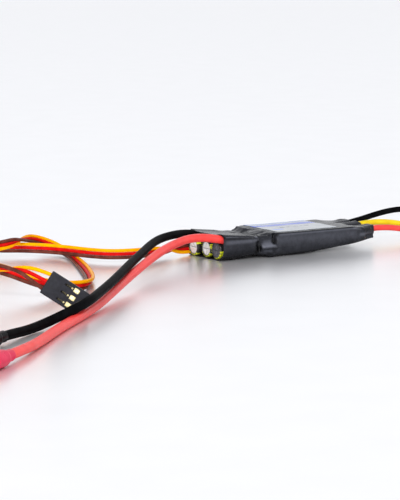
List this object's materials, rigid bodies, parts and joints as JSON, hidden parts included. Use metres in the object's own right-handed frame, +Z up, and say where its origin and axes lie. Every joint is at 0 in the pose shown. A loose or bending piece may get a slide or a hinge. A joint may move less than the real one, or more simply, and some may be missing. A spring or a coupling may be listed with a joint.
{
  "type": "electronic speed controller",
  "caption": "Slim shrink-wrapped motor controller with an open capacitor end, heavy supply leads, motor leads and a flat three-strand signal lead with its plug.",
  "frame": {"origin": "under the middle of the controller's body, on the face that it rests on", "axes": "+X from the battery end to the motor end, +Y towards the side that the signal lead leaves from, +Z up out of the labelled face"},
  "size_m": [0.3187, 0.1881, 0.0157],
  "materials": {
    "jacket": "satin",
    "label": "gloss",
    "capacitor_can": "satin",
    "capacitor_sleeve": "gloss",
    "bung": "matte",
    "lead": "satin",
    "spreader": "satin",
    "thermal_pad": "matte",
    "board": "satin",
    "pins": "gloss",
    "chip": "matte",
    "ceramic": "matte",
    "copper": "satin",
    "solder": "satin",
    "wire_red": "satin",
    "wire_black": "satin",
    "wire_yellow": "satin",
    "servo_orange": "satin",
    "servo_red": "satin",
    "servo_brown": "satin",
    "shrink_red": "gloss",
    "shrink_black": "gloss",
    "gold": "gloss",
    "plug": "satin"
  },
  "bodies": {
    "root": {"battery_bullet_negative": "gold", "battery_bullet_positive": "gold", "battery_sleeve_negative": "shrink_black", "battery_sleeve_positive": "shrink_red", "battery_solder_joints": "solder", "battery_wire_negative": "wire_black", "battery_wire_positive": "wire_red", "board_link_pins": "pins", "capacitor_bung_1": "bung", "capacitor_bung_2": "bung", "capacitor_bung_3": "bung", "capacitor_can_1": "capacitor_can", "capacitor_can_2": "capacitor_can", "capacitor_can_3": "capacitor_can", "capacitor_leads": "lead", "capacitor_sleeve_1": "capacitor_sleeve", "capacitor_sleeve_2": "capacitor_sleeve", "capacitor_sleeve_3": "capacitor_sleeve", "ceramic_capacitors": "ceramic", "chip_resistors": "chip", "control_board": "board", "gate_drivers": "chip", "heat_shrink_jacket": "jacket", "heat_spreader": "spreader", "high_side_transistors": "chip", "label": "label", "low_side_transistors": "chip", "microcontroller": "chip", "motor_bullet_black": "gold", "motor_bullet_red": "gold", "motor_bullet_yellow": "gold", "motor_sleeve_black": "shrink_black", "motor_sleeve_red": "shrink_black", "motor_sleeve_yellow": "shrink_black", "motor_solder_joints": "solder", "motor_wire_black": "wire_black", "motor_wire_red": "wire_red", "motor_wire_yellow": "wire_yellow", "negative_bus_bar": "copper", "positive_bus_bar": "copper", "power_board": "board", "resonator": "ceramic", "servo_contact_1": "gold", "servo_contact_2": "gold", "servo_contact_3": "gold", "servo_plug_housing": "plug", "servo_solder_joints": "solder", "servo_wire_ground": "servo_brown", "servo_wire_positive": "servo_red", "servo_wire_signal": "servo_orange", "supply_inductor": "chip", "supply_regulators": "chip", "thermal_pad": "thermal_pad"}
  },
  "joints": []
}
